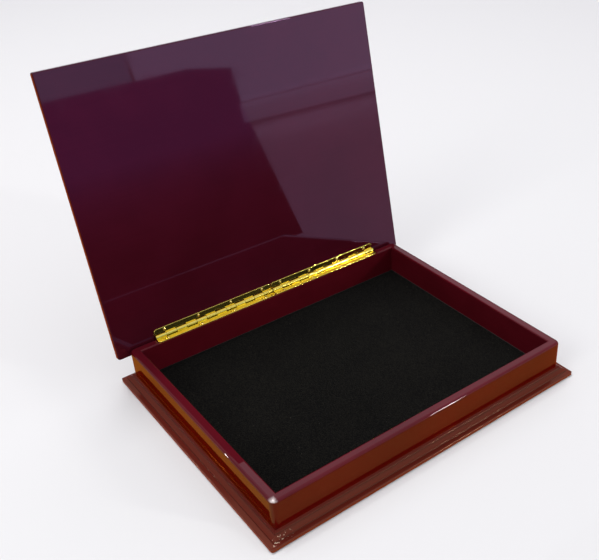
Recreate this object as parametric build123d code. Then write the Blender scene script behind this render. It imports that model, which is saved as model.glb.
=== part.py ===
from build123d import *
import math
import os

# Hinged display box: a moulded base board, four mitred walls, a lined tray and a flat
# moulded lid on two strip hinges. +X runs along the hinges, the front faces -Y, +Z is up.
# The origin is the centre of the base's underside. The lid stands open against its stop.

# Base board, a moulded edge round a flat board
base_length = 254.0
base_depth = 203.0
base_edge = 2.4
plinth_reach = 7.5
corner_round = 1.6
recess_depth = 1.9

# The moulding's steps, measured in from the board's edge and up from its flat edge band
edge_ease = 0.7
shelf_width = 3.1
shelf_rise = 0.3
riser_run = 0.25
lower_riser = 0.75
ovolo_run = 2.85
ovolo_rise = 1.8
ovolo_bulge = 0.28
upper_riser = 0.8
cap_rise = 1.05
arris_round = 0.22

# Walls
wall_thickness = 6.7
rim_height = 28.4
rim_outer_round = 2.0
rim_inner_round = 1.2
wall_corner_round = 4.0

# Sheets that line the tray and the underside
under_felt = 0.6
under_felt_inset = 9.0
lining_board_thickness = 0.7
lining_felt_thickness = 0.8
lining_board_gap = 0.4
lining_felt_gap = 0.05

# Lid, a little smaller all round than the base board and set a little to the left
lid_inset = 1.5
lid_end_inset = 1.0
lid_shift = -2.0
lid_edge = 4.2
lid_inner_ease = 0.6

# Strip hinges, two end to end
hinge_length = 98.0
hinge_spacing = 0.5
hinge_shift = -0.6
leaf_width = 5.7
leaf_thickness = 0.8
leaf_corner_round = 2.2
leaf_edge_round = 0.25
knuckle_radius = 1.5
knuckle_count = 12
knuckle_gap = 0.3
knuckle_clearance = 0.1
notch_clearance = 0.5
pin_radius = 0.65
pin_running_clearance = 0.05
pin_end_gap = 0.1
axis_inset = 0.33
stop_clearance = 0.1

# Mortise for the hinges in the back wall's rim
mortise_depth = 0.8
mortise_end_gap = 0.7
barrel_relief = 0.35

# Hinge nails
nail_spacing = 27.3
nails_per_leaf = 4
nail_head_radius = 1.1
nail_head_height = 0.45
nail_crown = 0.3
nail_shank_radius = 0.5
nail_length = 5.5
nail_tip = 1.2
nail_hole_clearance = 0.05

# Screws up through the base board into the walls
screw_length = 14.0
screw_shank_radius = 1.1
screw_head_radius = 2.2
screw_head_height = 1.3
screw_tip = 2.5
screw_hole_clearance = 0.1
screw_spread = 150.0
slot_width = 0.6
slot_depth = 0.5

# Panel pins across the mitres
panel_pin_radius = 0.6
panel_pin_length = 13.0
panel_pin_sink = 1.5
panel_pin_inset = 3.0
panel_pin_low = 6.0
panel_pin_pitch = 10.0

# Heights and places that follow from the sizes above
moulding_rise = shelf_rise + lower_riser + ovolo_rise + upper_riser + cap_rise
base_thickness = base_edge + moulding_rise
box_length = base_length - 2 * plinth_reach
box_depth = base_depth - 2 * plinth_reach
recess_floor = under_felt + base_thickness - recess_depth
lining_felt_bottom = recess_floor + lining_board_thickness
rim_top = under_felt + rim_height
wall_height = rim_top - recess_floor
tray_length = box_length - 2 * wall_thickness
tray_depth = box_depth - 2 * wall_thickness
back_face = box_depth / 2
leaf_offset = knuckle_radius + knuckle_clearance
axis_y = back_face - axis_inset
axis_z = rim_top - mortise_depth + leaf_offset
lid_length = base_length - 2 * lid_end_inset
lid_depth = base_depth - 2 * lid_inset
lid_thickness = lid_edge + moulding_rise
lid_overhang = (lid_depth - box_depth) / 2
lip_length = lid_overhang + axis_inset
hinge_run = 2 * hinge_length + hinge_spacing
nail_line = -(leaf_width + knuckle_radius + notch_clearance) / 2
from_bottom = (Align.CENTER, Align.CENTER, Align.MIN)
from_front = (Align.CENTER, Align.MIN, Align.MIN)

# The lid stops where the lip behind its hinges comes to bear on the back wall
lip_reach = math.hypot(leaf_offset, lip_length)
lean = math.acos((axis_inset + stop_clearance) / lip_reach) - math.atan2(lip_length, leaf_offset)
open_angle = 90 + math.degrees(lean)


def moulded_section(width, edge_height):
    """Cross-section of a board with the stepped moulding down both edges, bottom at y = 0."""
    half = width / 2
    bottom = (half, 0)
    edge_top = (half, edge_height - edge_ease)
    shelf_start = (half - edge_ease, edge_height)
    shelf_end = (half - shelf_width, edge_height + shelf_rise)
    ovolo_start = (shelf_end[0] - riser_run, shelf_end[1] + lower_riser)
    ovolo_end = (ovolo_start[0] - ovolo_run, ovolo_start[1] + ovolo_rise)
    cap_start = (ovolo_end[0] - riser_run, ovolo_end[1] + upper_riser)
    cap_end = (half - plinth_reach, cap_start[1] + cap_rise)
    chord = math.hypot(ovolo_run, ovolo_rise)
    ovolo_middle = (
        (ovolo_start[0] + ovolo_end[0]) / 2 + ovolo_bulge * ovolo_rise / chord,
        (ovolo_start[1] + ovolo_end[1]) / 2 + ovolo_bulge * ovolo_run / chord,
    )
    side = Curve() + [
        Line(bottom, edge_top),
        TangentArc(edge_top, shelf_start, tangent=(0, 1)),
        Line(shelf_start, shelf_end),
        Line(shelf_end, ovolo_start),
        ThreePointArc(ovolo_start, ovolo_middle, ovolo_end),
        Line(ovolo_end, cap_start),
        Line(cap_start, cap_end),
    ]
    top = Line((-cap_end[0], cap_end[1]), cap_end)
    base = Line((-half, 0), bottom)
    section = make_face(side + mirror(side, about=Plane.YZ) + top + base)
    arrises = section.vertices().filter_by_position(Axis.Y, edge_height, cap_end[1], (False, False))
    return fillet(arrises, arris_round)


def moulded_board(length, depth, edge_height):
    """Board with the moulding mitred round all four edges, its underside at z = 0."""
    lengthwise = extrude(Plane.XZ * moulded_section(length, edge_height), depth / 2, both=True)
    crosswise = extrude(Plane.YZ * moulded_section(depth, edge_height), length / 2, both=True)
    outline = extrude(RectangleRounded(length, depth, corner_round), edge_height + moulding_rise)
    return lengthwise & crosswise & outline


def panel(length, depth, thickness, bottom):
    """Flat rectangular sheet centred on the origin in plan."""
    return Pos(0, 0, bottom) * Box(length, depth, thickness, align=from_bottom)


def wall_frame():
    """The four walls in one ring, before they are parted at the mitres."""
    outside = extrude(RectangleRounded(box_length, box_depth, wall_corner_round), wall_height)
    inside = extrude(Rectangle(tray_length, tray_depth), wall_height)
    ring = Pos(0, 0, recess_floor) * (outside - inside)
    top = ring.faces().sort_by(Axis.Z)[-1]
    ring = fillet(top.outer_wire().edges(), rim_outer_round)
    top = ring.faces().sort_by(Axis.Z)[-1]
    return fillet(top.inner_wires()[0].edges(), rim_inner_round)


def wall(ring, turn, run, reach):
    """One wall: the part of the ring between the two mitres that end it."""
    inner = (run / 2 - wall_thickness, -reach / 2 + wall_thickness)
    spread = wall_corner_round
    outer = (run / 2 + spread, -reach / 2 - spread)
    corners = [inner, outer, (-outer[0], outer[1]), (-inner[0], inner[1])]
    wedge = extrude(make_face(Polyline(*corners, close=True)), rim_top)
    return ring & (Rot(0, 0, turn) * wedge)


def nail():
    """Round-headed nail, its head's underside at z = 0 and its point downwards."""
    shoulder = nail_head_height - nail_crown
    crown_radius = (nail_head_radius**2 + nail_crown**2) / (2 * nail_crown)
    middle = math.asin(nail_head_radius / crown_radius) / 2
    crown = ThreePointArc(
        (nail_head_radius, shoulder),
        (crown_radius * math.sin(middle), nail_head_height - crown_radius * (1 - math.cos(middle))),
        (0, nail_head_height),
    )
    outline = Curve() + [
        crown,
        Line((0, nail_head_height), (0, -nail_length)),
        Line((0, -nail_length), (nail_shank_radius, nail_tip - nail_length)),
        Line((nail_shank_radius, nail_tip - nail_length), (nail_shank_radius, 0)),
        Line((nail_shank_radius, 0), (nail_head_radius, 0)),
        Line((nail_head_radius, 0), (nail_head_radius, shoulder)),
    ]
    return revolve(Plane.XZ * make_face(outline), Axis.Z)


def screw():
    """Countersunk slotted screw, its head's face at z = 0 and its point upwards."""
    outline = Polyline(
        (0, 0),
        (screw_head_radius, 0),
        (screw_shank_radius, screw_head_height),
        (screw_shank_radius, screw_length - screw_tip),
        (0, screw_length),
        close=True,
    )
    solid = revolve(Plane.XZ * make_face(outline), Axis.Z)
    return solid - panel(3 * screw_head_radius, slot_width, slot_depth, 0)


def screw_hole():
    """What a screw takes out of the base board: the head's cone and a clearance hole."""
    cone = Cone(screw_head_radius, screw_shank_radius, screw_head_height, align=from_bottom)
    return cone + post(screw_shank_radius + screw_hole_clearance, base_thickness, 0)


def post(radius, height, bottom):
    """Upright cylinder on the Z axis."""
    return Pos(0, 0, bottom) * Cylinder(radius, height, align=from_bottom)


def rod(radius, start, length):
    """Cylinder along X from start."""
    return Pos(start, 0, 0) * Rot(0, 90, 0) * post(radius, length, 0)


def knuckle_starts():
    """Where the knuckles of one leaf begin: every other place along the hinge."""
    pitch = hinge_length / knuckle_count
    return [-hinge_length / 2 + pitch * place for place in range(0, knuckle_count, 2)]


def leaf(bore):
    """Hinge leaf with its knuckles on the X axis, its plate running to -Y below them."""
    plate_top = leaf_thickness - leaf_offset
    plate_depth = leaf_width - knuckle_radius - notch_clearance
    plate = extrude(RectangleRounded(hinge_length, leaf_width, leaf_corner_round), leaf_thickness)
    plate = fillet(plate.faces().sort_by(Axis.Z)[-1].edges(), leaf_edge_round)
    plate = Pos(0, -leaf_width / 2, -leaf_offset) * plate
    behind_knuckles = Box(hinge_length, plate_depth, 4 * leaf_offset)
    solid = plate & (Pos(0, plate_depth / 2 - leaf_width, 0) * behind_knuckles)
    tongue_depth = leaf_width - plate_depth
    length = hinge_length / knuckle_count - knuckle_gap
    for start in knuckle_starts():
        near = start + knuckle_gap / 2
        tongue = Box(length, tongue_depth, leaf_thickness, align=(Align.MIN, Align.MAX, Align.MAX))
        solid += Pos(near, 0, plate_top) * tongue
        solid += rod(knuckle_radius, near, length)
    solid -= rod(bore, -hinge_length, 2 * hinge_length)
    nail_hole = post(nail_shank_radius + nail_hole_clearance, 2 * leaf_offset, -2 * leaf_offset)
    for x in nail_places():
        solid -= Pos(x, nail_line, 0) * nail_hole
    return solid


def nail_places():
    """Where the nails stand along one leaf, counted from its middle."""
    return [nail_spacing * (place - (nails_per_leaf - 1) / 2) for place in range(nails_per_leaf)]


def leaf_nails():
    """The nails of one box leaf, in that leaf's frame."""
    seat = leaf_thickness - leaf_offset
    return [Pos(x, nail_line, seat) * nail() for x in nail_places()]


def turned_over(shape):
    """The same shape turned over about Y, onto the lid's side of the hinge of a shut lid."""
    return Rot(0, 180, 0) * shape


def at_hinge(shape, centre):
    """From a hinge's own frame to its place on the back wall."""
    return Pos(centre, axis_y, axis_z) * shape


def opened(shape):
    """From the shut lid's place to the open one, round the hinge axis."""
    return shape.rotate(Axis((0, axis_y, axis_z), (1, 0, 0)), -open_angle)


def cut_all(solid, tools):
    """The solid less each tool in turn."""
    for tool in tools:
        solid = solid - tool
    return solid


hinge_centres = {
    "left": hinge_shift - (hinge_length + hinge_spacing) / 2,
    "right": hinge_shift + (hinge_length + hinge_spacing) / 2,
}

# Screw places: two under each long wall and one under the middle of each short one
wall_middle_x = (box_length - wall_thickness) / 2
wall_middle_y = (box_depth - wall_thickness) / 2
sides = (-1, 1)
screw_places = [(side * screw_spread / 2, row * wall_middle_y) for side in sides for row in sides]
screw_places += [(side * wall_middle_x, 0) for side in sides]
screws = [Pos(x, y, under_felt) * screw() for x, y in screw_places]

# Panel pins: two across each mitre, driven in through the end walls and filled over
panel_pins = []
for side in sides:
    for row in sides:
        for level in (panel_pin_low, panel_pin_low + panel_pin_pitch):
            x = side * (box_length - panel_pin_length - 2 * panel_pin_sink) / 2
            y = row * (box_depth / 2 - panel_pin_inset)
            pin = rod(panel_pin_radius, -panel_pin_length / 2, panel_pin_length)
            panel_pins.append(Pos(x, y, recess_floor + level) * pin)

parts = {}

base_board = Pos(0, 0, under_felt) * moulded_board(base_length, base_depth, base_edge)
recess = extrude(RectangleRounded(box_length, box_depth, wall_corner_round), recess_depth)
base_board -= Pos(0, 0, recess_floor) * recess
screw_holes = [Pos(x, y, under_felt) * screw_hole() for x, y in screw_places]
parts["base_board"] = cut_all(base_board, screw_holes)

ring = wall_frame()
parts["front_wall"] = wall(ring, 0, box_length, box_depth)
parts["back_wall"] = wall(ring, 180, box_length, box_depth)
parts["left_wall"] = wall(ring, -90, box_depth, box_length)
parts["right_wall"] = wall(ring, 90, box_depth, box_length)

mortise_length = hinge_run + 2 * mortise_end_gap
relief_front = axis_y - knuckle_radius - notch_clearance
cutter = Box(mortise_length, box_depth, wall_height, align=from_front)
mortise = Pos(hinge_shift, 0, rim_top - mortise_depth) * cutter
relief = Pos(hinge_shift, relief_front, rim_top - mortise_depth - barrel_relief) * cutter
parts["back_wall"] = parts["back_wall"] - mortise - relief

for name in ("front_wall", "back_wall", "left_wall", "right_wall"):
    parts[name] = cut_all(parts[name], screws + panel_pins)

lining_length = tray_length - 2 * lining_board_gap
lining_depth = tray_depth - 2 * lining_board_gap
parts["lining_board"] = panel(lining_length, lining_depth, lining_board_thickness, recess_floor)
felt_length = tray_length - 2 * lining_felt_gap
felt_depth = tray_depth - 2 * lining_felt_gap
parts["felt_lining"] = panel(felt_length, felt_depth, lining_felt_thickness, lining_felt_bottom)
parts["base_felt"] = panel(
    base_length - 2 * under_felt_inset, base_depth - 2 * under_felt_inset, under_felt, 0
)
parts["base_screws"] = Compound(children=screws)
parts["corner_pins"] = Compound(children=panel_pins)

lid = moulded_board(lid_length, lid_depth, lid_edge)
lid = fillet(lid.faces().sort_by(Axis.Z)[0].edges(), lid_inner_ease)
lid = Pos(lid_shift, 0, axis_z + leaf_offset) * lid

for name, centre in hinge_centres.items():
    box_leaf = leaf(pin_radius)
    lid_leaf = turned_over(leaf(pin_radius + pin_running_clearance))
    box_nails = leaf_nails()
    lid_nails = [turned_over(shape) for shape in box_nails]
    pin_length = hinge_length - 2 * pin_end_gap
    parts[name + "_hinge_box_leaf"] = at_hinge(box_leaf, centre)
    parts[name + "_hinge_lid_leaf"] = opened(at_hinge(lid_leaf, centre))
    parts[name + "_hinge_pin"] = at_hinge(rod(pin_radius, -pin_length / 2, pin_length), centre)
    box_nails = [at_hinge(shape, centre) for shape in box_nails]
    lid_nails = [at_hinge(shape, centre) for shape in lid_nails]
    parts["back_wall"] = cut_all(parts["back_wall"], box_nails)
    lid = cut_all(lid, lid_nails)
    parts[name + "_box_leaf_nails"] = Compound(children=box_nails)
    parts[name + "_lid_leaf_nails"] = Compound(children=[opened(shape) for shape in lid_nails])

parts["lid_panel"] = opened(lid)

os.makedirs("parts", exist_ok=True)
for name, shape in parts.items():
    export_step(shape, f"parts/{name}.step")
    print(name, round(shape.volume, 1))
print("hinge axis y, z:", round(axis_y, 3), round(axis_z, 3))
print("lid open to", round(open_angle, 2), "degrees")
print("gap over the rim when the lid is level:", round(axis_z + leaf_offset - rim_top, 2))
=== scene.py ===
import math

import bpy
import numpy as np
from mathutils import Matrix, Vector


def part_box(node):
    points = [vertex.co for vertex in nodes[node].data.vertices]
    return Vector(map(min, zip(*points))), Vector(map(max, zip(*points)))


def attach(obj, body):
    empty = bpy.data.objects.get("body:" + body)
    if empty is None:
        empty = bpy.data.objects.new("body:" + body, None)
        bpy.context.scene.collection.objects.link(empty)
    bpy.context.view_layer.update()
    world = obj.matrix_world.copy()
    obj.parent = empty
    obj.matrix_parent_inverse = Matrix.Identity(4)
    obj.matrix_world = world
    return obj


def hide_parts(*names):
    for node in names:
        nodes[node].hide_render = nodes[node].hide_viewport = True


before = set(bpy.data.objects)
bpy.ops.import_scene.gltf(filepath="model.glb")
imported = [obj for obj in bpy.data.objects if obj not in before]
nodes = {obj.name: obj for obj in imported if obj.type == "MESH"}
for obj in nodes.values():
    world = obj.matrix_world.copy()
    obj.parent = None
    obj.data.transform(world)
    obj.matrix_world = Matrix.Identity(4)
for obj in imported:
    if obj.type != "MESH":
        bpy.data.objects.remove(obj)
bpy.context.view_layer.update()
print("frame loaded,", len(nodes), "nodes")


# Colours are chosen as screen values from 0 to 255 and turned into the linear ones that shaders take
def paint(red, green, blue):
    steps = [value / 255 for value in (red, green, blue)]
    linear = [s / 12.92 if s <= 0.04045 else ((s + 0.055) / 1.055) ** 2.4 for s in steps]
    return (*linear, 1.0)


# A socket that takes part in Python sums: every operator adds the Math node of that name
class Wire:
    def __init__(self, finish, socket):
        self.finish = finish
        self.socket = socket

    def math(self, operation, first, second):
        return self.finish.node("Math", {"operation": operation}, {0: first, 1: second})

    def __add__(self, other):
        return self.math("ADD", self, other)

    def __radd__(self, other):
        return self.math("ADD", other, self)

    def __sub__(self, other):
        return self.math("SUBTRACT", self, other)

    def __rsub__(self, other):
        return self.math("SUBTRACT", other, self)

    def __mul__(self, other):
        return self.math("MULTIPLY", self, other)

    def __rmul__(self, other):
        return self.math("MULTIPLY", other, self)

    def larger(self, other):
        return self.math("MAXIMUM", self, other)

    def size(self):
        return self.math("ABSOLUTE", self, 0.0)

    # Rises smoothly from 0 at low to 1 at high
    def between(self, low, high):
        settings = {"interpolation_type": "SMOOTHSTEP"}
        return self.finish.node("MapRange", settings, {0: self, 1: low, 2: high})

    # A band: rises from 0 to 1 over the first two values and falls again over the last two
    def band(self, rise, full, fade, end):
        return self.between(rise, full) * (1 - self.between(fade, end))


# One material, or the world, and its nodes
class Finish:
    def __init__(self, name, tree=None):
        if not tree:
            self.material = bpy.data.materials.new(name)
            self.material.use_nodes = True
            tree = self.material.node_tree
        self.tree = tree
        self.tree.nodes.clear()
        self.place = self.node("TexCoord", output="Object")
        self.x, self.y, self.z = [self.node("SeparateXYZ", {}, {0: self.place}, axis) for axis in "XYZ"]

    # Any node: its settings are set first, then its sockets get values or wires
    def node(self, kind, settings=None, sockets=None, output=0):
        made = self.tree.nodes.new("ShaderNode" + kind)
        for key, value in (settings or {}).items():
            setattr(made, key, value)
        for key, value in (sockets or {}).items():
            if isinstance(value, Wire):
                self.tree.links.new(value.socket, made.inputs[key])
            else:
                made.inputs[key].default_value = value
        return Wire(self, made.outputs[output]) if made.outputs else made

    # Noise from 0 to 1 in patches about size metres across, stretched along the axes by stretch
    def noise(self, size, detail, stretch=(1, 1, 1)):
        scale = [1 / (size * factor) for factor in stretch]
        sockets = {"Vector": self.place, "Scale": scale}
        vector = self.node("Mapping", {"vector_type": "POINT"}, sockets)
        return self.node("TexNoise", {}, {"Vector": vector, "Scale": 1.0, "Detail": detail})

    # Patches of noise as a mask, 0 below the range and 1 above it
    def patches(self, look):
        return self.noise(look["size"], look["detail"]).between(*look["range"])

    # How far a point lies outside an upright box about the origin, below zero within it
    def outside(self, reachX, reachY):
        return (self.x.size() - reachX).larger(self.y.size() - reachY)

    def mix(self, factor, first, second):
        return self.node("Mix", {"data_type": "RGBA"}, {0: factor, 6: first, 7: second}, 2)

    def bump(self, height, distance):
        return self.node("Bump", {}, {"Height": height, "Distance": distance, "Strength": 1.0})

    # The last two nodes: a shader and the output that it goes to
    def ends(self, shader, sockets, output="OutputMaterial"):
        self.node(output, {}, {"Surface": self.node(shader, {}, sockets)})

    def surface(self, sockets):
        self.ends("BsdfPrincipled", sockets)
        return self.material


# Gloss lacquer over stained wood: a cloudy stain with fine streaks along the grain, a painted highlight that
# makes every arris paler, smudged in patches, and with a very slight orange peel
lacquerLook = {
    "deep": paint(80, 11, 21),
    "light": paint(90, 14, 25),
    "cloud": 0.05,
    "streak": 0.0015,
    "stainDetail": 3.0,
    "streakShare": 0.2,
    "stainRange": (0.35, 0.68),
    # Painted highlight: the paler colour mixed in along every arris
    "edge": paint(124, 44, 42),
    "edgeRadius": 0.0004,
    "edgeSamples": 8,
    "edgeRange": (0.004, 0.2),
    "arrisHighlight": 0.15,
    "gloss": 0.015,
    "smudge": 0.04,
    "smudges": {"size": 0.018, "detail": 4.0, "range": (0.5, 0.85)},
    "peelSize": 0.006,
    "peelDetail": 1.0,
    "peelDepth": 0.0000001,
    "ior": 1.36,
    # Painted reflection colour: a faint rose tint on every reflection
    "tint": paint(255, 236, 240),
    # Painted reflection: the amber that a coat lays over the outer faces
    "reflectionAmber": paint(251, 206, 150),
    # Painted highlight: the pale glint on the rim's front left corner
    "cornerGlint": paint(232, 220, 216),
}
# The end walls take a paler amber for their painted reflection
endWallLook = {**lacquerLook, "ior": 1.4, "reflectionAmber": paint(251, 224, 178)}
plinthLook = {
    **lacquerLook,
    "deep": paint(79, 18, 19),
    "light": paint(87, 21, 22),
    # Painted reflection: the browner colour of the lower steps
    "low": paint(96, 39, 32),
    # Painted shade: the dark colour on the two risers
    "riserShade": paint(48, 10, 12),
    # Painted reflection: the orange at the plinth's foot
    "footReflection": paint(122, 56, 28),
    "paleSpeck": paint(196, 184, 174),
    # A stronger painted highlight on the plinth's arrises
    "arrisHighlight": 0.3,
    "gloss": 0.15,
    "ior": 1.48,
    # Painted reflection colour: the plinth's reflections tinted warm
    "tint": paint(255, 214, 180),
}
lidLook = {
    **lacquerLook,
    # Painted shade: the lid's stain is darker than the walls' though it is the same lacquer
    "deep": paint(62, 11, 22),
    "light": paint(68, 13, 26),
    "gloss": 0.03,
    "smudge": 0.06,
    "peelDepth": 0.0000005,
    "ior": 1.44,
    # Painted reflection colour: the lid's reflections tinted violet
    "tint": paint(238, 192, 255),
}


# Where the amber reflection mask is 1 a coat tints the lacquer amber, a painted reflection. Each painted
# mark or speck is a mask and the name of its colour in the look
def lacquer(name, look, grain, amberReflection, paintedLightAndSpecks=()):
    finish = Finish(name)
    cloud = finish.noise(look["cloud"], look["stainDetail"])
    streak = finish.noise(look["streak"], look["stainDetail"], grain)
    share = look["streakShare"]
    stain = (cloud * (1 - share) + streak * share).between(*look["stainRange"])
    colour = finish.mix(stain, look["deep"], look["light"])

    # An arris is where the bevelled normal leaves the flat one; there the colour is mixed paler, a painted
    # highlight
    bevelled = finish.node("Bevel", {"samples": look["edgeSamples"]}, {"Radius": look["edgeRadius"]})
    flat = finish.node("NewGeometry", output="True Normal")
    agreement = finish.node("VectorMath", {"operation": "DOT_PRODUCT"}, {0: bevelled, 1: flat}, 1)
    arrisHighlight = (1 - agreement).between(*look["edgeRange"])
    colour = finish.mix(arrisHighlight * look["arrisHighlight"], colour, look["edge"])
    for mask, shade in paintedLightAndSpecks:
        colour = finish.mix(mask(finish), colour, look[shade])

    peel = finish.noise(look["peelSize"], look["peelDetail"])
    return finish.surface({
        "Base Color": colour,
        "Roughness": look["gloss"] + finish.patches(look["smudges"]) * look["smudge"],
        "IOR": look["ior"],
        "Specular Tint": look["tint"],
        "Coat Weight": amberReflection(finish),
        "Coat IOR": 1.0,
        "Coat Tint": look["reflectionAmber"],
        "Normal": finish.bump(peel, look["peelDepth"]),
    })


# The amber coat, a painted reflection, covers the walls' outer half, up to where the rim rounds over. It
# starts over these distances in from the outer faces and ends over these below the rim
wallReflectionExtent = {"inwards": (-0.004, -0.003), "below": (0.0015, 0.0007)}


def wallAmberReflection(finish):
    reachX, reachY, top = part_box("right_wall")[1].x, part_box("back_wall")[1].y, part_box("front_wall")[1].z
    start, end = [top - depth for depth in wallReflectionExtent["below"]]
    side = finish.outside(reachX, reachY).between(*wallReflectionExtent["inwards"])
    return side * (1 - finish.z.between(start, end))


# An outer skin of a piece, from this far under its faces
skin = (-0.0006, -0.0002)


# The lid's two end faces, where the amber coat lays a painted reflection
def lidEndAmberReflection(finish):
    low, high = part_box("lid_panel")
    return ((finish.x - (low.x + high.x) / 2).size() - (high.x - low.x) / 2).between(*skin)


# The plinth's colour by its height on the moulding: an orange band at the foot and browner lower steps, both
# painted reflection, and dark bands of painted shade on the two risers, which lie outside this plan
plinthZones = {
    "footReflection": (0.0014, 0.0024),
    # Heights over which the painted reflection of the lower steps fades out
    "low": (0.0045, 0.0075),
    "lowReflectionShare": 0.85,
    "lowerRiser": (0.0032, 0.0034, 0.0039, 0.0041),
    "lowerShare": 0.5,
    "upperRiser": (0.0057, 0.0059, 0.0065, 0.0067),
    "upperShare": 0.7,
    "risersOutside": (0.1205, 0.095),
    "risersStart": (0.0, 0.0004),
    # Share of the amber painted reflection all over the plinth
    "amberReflection": 0.4,
}


# Painted reflection: an orange band along the outer face at the foot
def plinthFootReflection(finish):
    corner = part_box("base_board")[1]
    band = finish.outside(corner.x, corner.y).between(*skin)
    return band * (1 - finish.z.between(*plinthZones["footReflection"]))


# Painted reflection: the lower steps browner, fading out up the moulding
def plinthLowReflection(finish):
    return (1 - finish.z.between(*plinthZones["low"])) * plinthZones["lowReflectionShare"]


# Painted shade: dark bands on the two risers of the moulding
def plinthRiserShade(finish):
    lower = finish.z.band(*plinthZones["lowerRiser"]) * plinthZones["lowerShare"]
    upper = finish.z.band(*plinthZones["upperRiser"]) * plinthZones["upperShare"]
    moulding = finish.outside(*plinthZones["risersOutside"]).between(*plinthZones["risersStart"])
    return (lower + upper) * moulding


# A little amber coat all over the plinth, and fully so at its foot, as painted reflection
def plinthAmberReflection(finish):
    return plinthZones["amberReflection"] + plinthFootReflection(finish) * (1 - plinthZones["amberReflection"])


# Pale specks along the front moulding, with bands from the plinth's left end and front
speckLook = {
    "along": (0.0015, 0.0025, 0.012, 0.018),
    "across": (0.001, 0.002, 0.0045, 0.006),
    "speckPatches": {"size": 0.0014, "detail": 1.5, "range": (0.59, 0.65)},
}


def paleSpecks(finish):
    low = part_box("base_board")[0]
    along = (finish.x - low.x).band(*speckLook["along"])
    across = (finish.y - low.y).band(*speckLook["across"])
    return finish.patches(speckLook["speckPatches"]) * across * along


# A painted glint: the rim's front left corner is painted pale in patches, fully within the first reach, not
# past the second, and farther by the stretch along the left wall
cornerGlintLook = {
    "reach": (0.0006, 0.0036),
    "stretch": 1.6,
    "below": (0.0015, 0.0004),
    "patches": {"size": 0.002, "detail": 2.0, "range": (0.1, 0.5)},
}


def paintedCornerGlint(finish):
    low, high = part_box("front_wall")
    away = (finish.x - low.x).larger((finish.y - low.y) * (1 / cornerGlintLook["stretch"]))
    start, end = [high.z - depth for depth in cornerGlintLook["below"]]
    corner = (1 - away.between(*cornerGlintLook["reach"])) * finish.z.between(start, end)
    return corner * finish.patches(cornerGlintLook["patches"])


# Polished brass of the hinges and nails
brassLook = {
    "bright": paint(250, 225, 108),
    "dull": paint(234, 201, 78),
    "gloss": 0.1,
    "dullness": 0.1,
    "tarnish": {"size": 0.006, "detail": 4.0, "range": (0.45, 0.8)},
    "wavySize": 0.004,
    "wavyDetail": 1.0,
    "wavyDepth": 0.000002,
}
nailLook = {**brassLook, "bright": paint(226, 200, 120), "dull": paint(196, 164, 84), "gloss": 0.3}


def brass(name, look):
    finish = Finish(name)
    tarnish = finish.patches(look["tarnish"])
    wavy = finish.noise(look["wavySize"], look["wavyDetail"])
    return finish.surface({
        "Base Color": finish.mix(tarnish, look["bright"], look["dull"]),
        "Metallic": 1.0,
        "Roughness": look["gloss"] + tarnish * look["dullness"],
        "Normal": finish.bump(wavy, look["wavyDepth"]),
    })


# Drawn or plated steel of the pins and screws
steelLook = {
    "bright": paint(196, 198, 202),
    "dull": paint(150, 152, 156),
    "gloss": 0.25,
    "dullness": 0.15,
    "blotches": {"size": 0.003, "detail": 3.0, "range": (0.4, 0.7)},
    "scratchSize": 0.0003,
    "scratchDetail": 2.0,
    "scratchStretch": (12, 1, 1),
    "scratchDepth": 0.000005,
}


def steel(name, look):
    finish = Finish(name)
    blotch = finish.patches(look["blotches"])
    scratch = finish.noise(look["scratchSize"], look["scratchDetail"], look["scratchStretch"])
    return finish.surface({
        "Base Color": finish.mix(blotch, look["bright"], look["dull"]),
        "Metallic": 1.0,
        "Roughness": look["gloss"] + blotch * look["dullness"],
        "Normal": finish.bump(scratch, look["scratchDepth"]),
    })


# Raw card under the felt
rawCardLook = {
    "pale": paint(168, 158, 140),
    "dark": paint(128, 118, 102),
    "flecks": {"size": 0.0008, "detail": 4.0, "range": (0.35, 0.7)},
    "roughness": 0.9,
    "depth": 0.00004,
}


def rawCard(name, look):
    finish = Finish(name)
    fleck = finish.patches(look["flecks"])
    return finish.surface({
        "Base Color": finish.mix(fleck, look["pale"], look["dark"]),
        "Roughness": look["roughness"],
        "Normal": finish.bump(fleck, look["depth"]),
    })


# Black felt: matted fibres, brushed in wide patches, paler along its outer edge, and a little lint
feltLook = {
    "deep": paint(1, 1, 1),
    "nap": paint(21, 20, 16),
    "fibre": 0.0007,
    "fibreDetail": 4.0,
    "fibreDepth": 0.0003,
    "brushed": 0.03,
    "brushedDetail": 3.0,
    "brushedShare": 0.1,
    "napRange": (0.44, 0.6),
    "edge": paint(66, 50, 50),
    "edgeBand": (-0.0009, -0.0005),
    "lint": paint(90, 84, 76),
    "specks": {"size": 0.0009, "detail": 0.0, "range": (0.86, 0.92)},
    "roughness": 0.95,
    "shine": 0.1,
    "sheen": 0.028,
    "sheenRoughness": 0.5,
    "sheenTint": paint(200, 195, 185),
}


def felt(name, look, node):
    finish = Finish(name)
    fibre = finish.noise(look["fibre"], look["fibreDetail"])
    brushed = finish.noise(look["brushed"], look["brushedDetail"])
    share = look["brushedShare"]
    nap = (fibre * (1 - share) + brushed * share).between(*look["napRange"])
    colour = finish.mix(nap, look["deep"], look["nap"])
    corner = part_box(node)[1]
    edge = finish.outside(corner.x, corner.y).between(*look["edgeBand"])
    colour = finish.mix(edge, colour, look["edge"])
    colour = finish.mix(finish.patches(look["specks"]), colour, look["lint"])
    return finish.surface({
        "Base Color": colour,
        "Roughness": look["roughness"],
        "Specular IOR Level": look["shine"],
        "Sheen Weight": look["sheen"],
        "Sheen Roughness": look["sheenRoughness"],
        "Sheen Tint": look["sheenTint"],
        "Normal": finish.bump(fibre, look["fibreDepth"]),
    })


# The grain stretches the streaks along a piece
alongX = (40, 1, 1)
alongY = (1, 40, 1)
# The walls' one mark is the painted glint on the rim's corner
wallPaintedGlint = [(paintedCornerGlint, "cornerGlint")]
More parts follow.
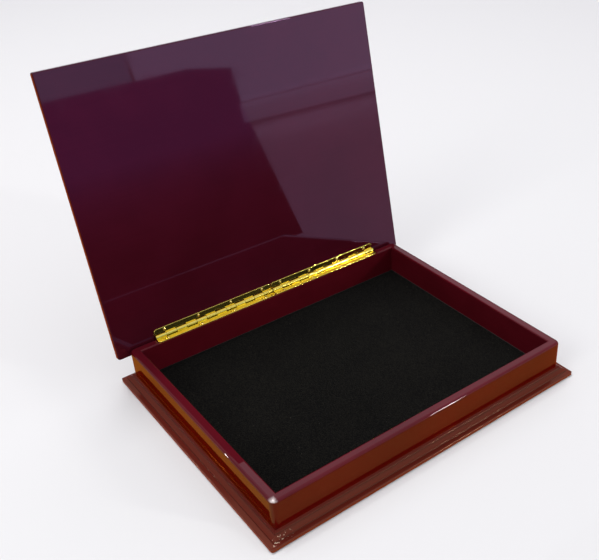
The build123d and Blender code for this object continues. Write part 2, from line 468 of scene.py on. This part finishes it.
# The plinth's marks: painted reflection on the lower steps and at the foot, painted shade on the risers, pale
# specks
plinthPaintedLightAndSpecks = [(plinthLowReflection, "low"), (plinthRiserShade, "riserShade"), (plinthFootReflection, "footReflection"), (paleSpecks, "paleSpeck")]
longWall = lacquer("longWallLacquer", lacquerLook, alongX, wallAmberReflection, wallPaintedGlint)
shortWall = lacquer("shortWallLacquer", endWallLook, alongY, wallAmberReflection, wallPaintedGlint)
plinthLacquer = lacquer("plinthLacquer", plinthLook, alongX, plinthAmberReflection, plinthPaintedLightAndSpecks)
lidLacquer = lacquer("lidLacquer", lidLook, alongX, lidEndAmberReflection)
hingeBrass = brass("hingeBrass", brassLook)
nailBrass = brass("nailBrass", nailLook)
pinSteel = steel("pinSteel", steelLook)
screwSteel = steel("screwSteel", steelLook)
liningCard = rawCard("liningCard", rawCardLook)
trayFelt = felt("trayFelt", feltLook, "felt_lining")
footFelt = felt("footFelt", feltLook, "base_felt")

finishOf = {
    "base_board": plinthLacquer,
    "front_wall": longWall,
    "back_wall": longWall,
    "left_wall": shortWall,
    "right_wall": shortWall,
    "lid_panel": lidLacquer,
    "lining_board": liningCard,
    "base_screws": screwSteel,
    "corner_pins": pinSteel,
}
for side in ("left", "right"):
    finishOf[side + "_hinge_box_leaf"] = hingeBrass
    finishOf[side + "_hinge_lid_leaf"] = hingeBrass
    finishOf[side + "_hinge_pin"] = pinSteel
    finishOf[side + "_box_leaf_nails"] = nailBrass
    finishOf[side + "_lid_leaf_nails"] = nailBrass
for name, material in finishOf.items():
    for holder in nodes[name].material_slots:
        holder.material = material
print("lacquer, brass, steel and card on", len(finishOf), "nodes")


# An open surface of quads through a grid of points, rows by columns
def gridMesh(name, points, material):
    rows, columns = points.shape[:2]
    index = np.arange(rows * columns).reshape(rows, columns)
    corners = [index[:-1, :-1], index[:-1, 1:], index[1:, 1:], index[1:, :-1]]
    faces = np.stack([corner.ravel() for corner in corners], axis=1)
    mesh = bpy.data.meshes.new(name)
    mesh.from_pydata(points.reshape(-1, 3), [], faces)
    mesh.shade_smooth()
    mesh.materials.append(material)
    made = bpy.data.objects.new(name, mesh)
    bpy.context.scene.collection.objects.link(made)
    return made


# Sheets of felt, cut to fit and glued down: roll is the radius of the rolled edge and wave the
# greatest dip of the face
sheets = {
    "tray_felt": {"node": "felt_lining", "body": "box", "slot": "black_felt", "roll": 0.0005,
                  "wave": 0.00008, "on": "lining_board", "up": 1, "finish": trayFelt},
    "foot_felt": {"node": "base_felt", "body": "box", "slot": "base_felt", "roll": 0.0003,
                  "wave": 0.00004, "on": "base_board", "up": -1, "finish": footFelt},
}

# What all sheets share: points across, how much they crowd to the edges, the waves as radians per metre
# along x and y with a start, how many rolls in from the edge they fade, and how many waves of room
# the thickness leaves for them
sheetShape = {
    "steps": 170,
    "crowd": 0.92,
    "waves": [(61, 23, 0.0), (-31, 97, 1.3), (173, 131, 0.4)],
    "fade": 10,
    "room": 1.5,
}


# Positions from -1 to 1, crowded towards the ends as the sine of an even angle is
def crowded(steps, crowd):
    even = np.linspace(-1, 1, steps)
    return crowd * np.sin(even * math.pi / 2) + (1 - crowd) * even


# Height of a sheet's face over a plan grid: level, rolled down in a quarter round at the edges,
# less slow crossing sine waves that fade out at the edges
def feltSheet(name, look):
    low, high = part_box(look["node"])
    middle = (low + high) / 2
    half = (high - low) / 2
    marks = crowded(sheetShape["steps"], sheetShape["crowd"])
    across, along = np.meshgrid(marks, marks, indexing="ij")
    x = across * half.x
    y = along * half.y
    edge = np.minimum(half.x - np.abs(x), half.y - np.abs(y))
    roll = look["roll"]
    dip = 1 - np.clip(edge / roll, 0, 1)
    fall = roll * (1 - np.sqrt(1 - dip**2))
    inner = np.clip(edge / (sheetShape["fade"] * roll), 0, 1)
    waves = sheetShape["waves"]
    swell = sum(np.sin(x * turnX + y * turnY + start) for turnX, turnY, start in waves)
    level = -look["wave"] * (1 - swell / len(waves)) / 2 * inner - fall
    face = high.z if look["up"] > 0 else low.z
    z = face + look["up"] * level
    points = np.stack([x + middle.x, y + middle.y, z], axis=2)
    if look["up"] > 0:
        points = points[::-1]
    sheet = gridMesh(name, points, look["finish"])
    thicken = sheet.modifiers.new("thickness", "SOLIDIFY")
    thicken.thickness = 2 * half.z - sheetShape["room"] * look["wave"]
    thicken.offset = -1
    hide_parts(look["node"])
    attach(sheet, look["body"])


for name, look in sheets.items():
    feltSheet(name, look)
print("felt sheets laid")


# Floor and light
studio = {
    "floorSize": 24.0,
    "floor": paint(229, 228, 226),
    "floorRoughness": 0.8,
    "horizon": paint(154, 154, 158),
    "zenith": paint(230, 230, 240),
    "rise": (0.35, 0.9),
}
floorMesh = bpy.data.meshes.new("floor")
reach = studio["floorSize"] / 2
corners = [(-reach, -reach, 0), (reach, -reach, 0), (reach, reach, 0), (-reach, reach, 0)]
floorMesh.from_pydata(corners, [], [(0, 1, 2, 3)])
floorSockets = {"Base Color": studio["floor"], "Roughness": studio["floorRoughness"]}
floorMesh.materials.append(Finish("floor").surface(floorSockets))
floor = bpy.data.objects.new("floor", floorMesh)
bpy.context.scene.collection.objects.link(floor)

# The studio's walls darken from the ceiling down to the horizon
world = bpy.data.worlds.new("studio")
world.use_nodes = True
sky = Finish("sky", world.node_tree)
height = sky.node("SeparateXYZ", {}, {0: sky.node("TexCoord", output="Generated")}, "Z")
shade = sky.mix(height.between(*studio["rise"]), studio["horizon"], studio["zenith"])
sky.ends("Background", {"Color": shade}, "OutputWorld")
bpy.context.scene.world = world

# Each lamp is a soft rectangle: the way to it from a place on the box, its distance, its width and
# length, the way that its length lies, its power and its tint
lamps = {
    "overhead": {"at": (0, 0, 0), "way": (0, 0.3, 0.95), "away": 2.3, "size": (0.6, 0.6),
                 "lies": (0, 1, 0), "power": 21, "tint": (1, 1, 1)},
    "rimGlint": {"at": (0.0134, -0.0931, 0.029), "way": (0.523, -0.805, 0.28), "away": 3.2,
                 "size": (0.14, 0.36), "lies": (0, 0, 1), "power": 19, "tint": (1, 1, 1)},
    "tallPanel": {"at": (0, 0.11, 0.13), "way": (0.24, -0.961, 0.139), "away": 8.5,
                  "size": (1.74, 2.09), "lies": (0, 0, 1), "power": 10.8, "tint": (0.37, 0.9, 1)},
    "widePanel": {"at": (0, 0.11, 0.13), "way": (0.604, -0.787, 0.124), "away": 8.5,
                  "size": (5.36, 2.36), "lies": (0, 0, 1), "power": 62, "tint": (0.7, 0.96, 1)},
    "lowStrip": {"at": (0.006, 0.115, 0.143), "way": (0.69, -0.723, -0.023), "away": 2.5,
                 "size": (1.56, 0.072), "lies": (0, 0, 1), "power": 0.29, "tint": (0.85, 1, 1)},
    "backPanel": {"at": (0, 0, 0), "way": (0.475, 0.587, 0.656), "away": 3.0, "size": (2.0, 1.3),
                  "lies": (0, 0, 1), "power": 4.2, "tint": (1, 0.88, 1)},
    "backStrip": {"at": (-0.1177, -0.0434, 0.029), "way": (-0.7355, 0.677, 0.03), "away": 2.6,
                  "size": (0.018, 0.24), "lies": (0, 0, 1), "power": 1.7, "tint": (1, 1, 1)},
    "leftFill": {"at": (0, 0, 0), "way": (-0.8, -0.15, 0.58), "away": 2.4, "size": (0.9, 0.9),
                 "lies": (0, 1, 0), "power": 12, "tint": (1, 1, 1)},
}
for name, look in lamps.items():
    lamp = bpy.data.lights.new(name, "AREA")
    lamp.shape = "RECTANGLE"
    lamp.size, lamp.size_y = look["size"]
    lamp.energy = look["power"]
    lamp.color = look["tint"]
    holder = bpy.data.objects.new(name, lamp)
    back = Vector(look["way"]).normalized()
    side = Vector(look["lies"]).cross(back).normalized()
    holder.location = Vector(look["at"]) + back * look["away"]
    holder.rotation_euler = Matrix((side, back.cross(side), back)).transposed().to_euler()
    bpy.context.scene.collection.objects.link(holder)

# A dark card lies in front of the box and turns up at its far end, seen only in the lacquer and brass.
# It brightens a little with distance
darkCard = {
    "near": [(-1.0, -0.2), (0.18, -0.2), (0.197, -0.2)],
    "far": [(-2.0, -7.0), (3.1, -7.0), (3.55, -7.0)],
    "lift": 0.002,
    "turnUp": [0.455, 0.445, 0.365],
    "dark": paint(0, 0, 0),
    "glow": (0.33, 0.22, 0.53, 1),
    "glowRange": (-0.2, -3.0),
}
lyingRows = [[(x, y, darkCard["lift"]) for x, y in row] for row in (darkCard["near"], darkCard["far"])]
standingRow = [(x, y, z) for (x, y), z in zip(darkCard["far"], darkCard["turnUp"])]
cardFinish = Finish("darkCard")
glow = cardFinish.mix(cardFinish.y.between(*darkCard["glowRange"]), darkCard["dark"], darkCard["glow"])
cardFinish.ends("Emission", {"Color": glow})
flag = gridMesh("darkCard", np.array([*lyingRows, standingRow]), cardFinish.material)
flag.visible_camera = flag.visible_diffuse = flag.visible_shadow = flag.visible_transmission = False

# The camera stands 0.6 m off, above the front left corner
shot = {
    "place": (-0.27094, -0.39518, 0.38017),
    "turn": (56.711, 1.062, -38.610),
    "lens": 50.644,
    "sensor": 36,
    "shift": (-0.1427, 0.0343),
    "nearest": 0.01,
}
lens = bpy.data.cameras.new("camera")
lens.sensor_width = shot["sensor"]
lens.lens = shot["lens"]
lens.shift_x, lens.shift_y = shot["shift"]
lens.clip_start = shot["nearest"]
camera = bpy.data.objects.new("camera", lens)
camera.location = shot["place"]
camera.rotation_euler = [math.radians(angle) for angle in shot["turn"]]
bpy.context.scene.collection.objects.link(camera)
bpy.context.scene.camera = camera
bpy.context.scene.view_settings.view_transform = "Standard"
print("floor, lamps and camera set")

bpy.context.view_layer.update()
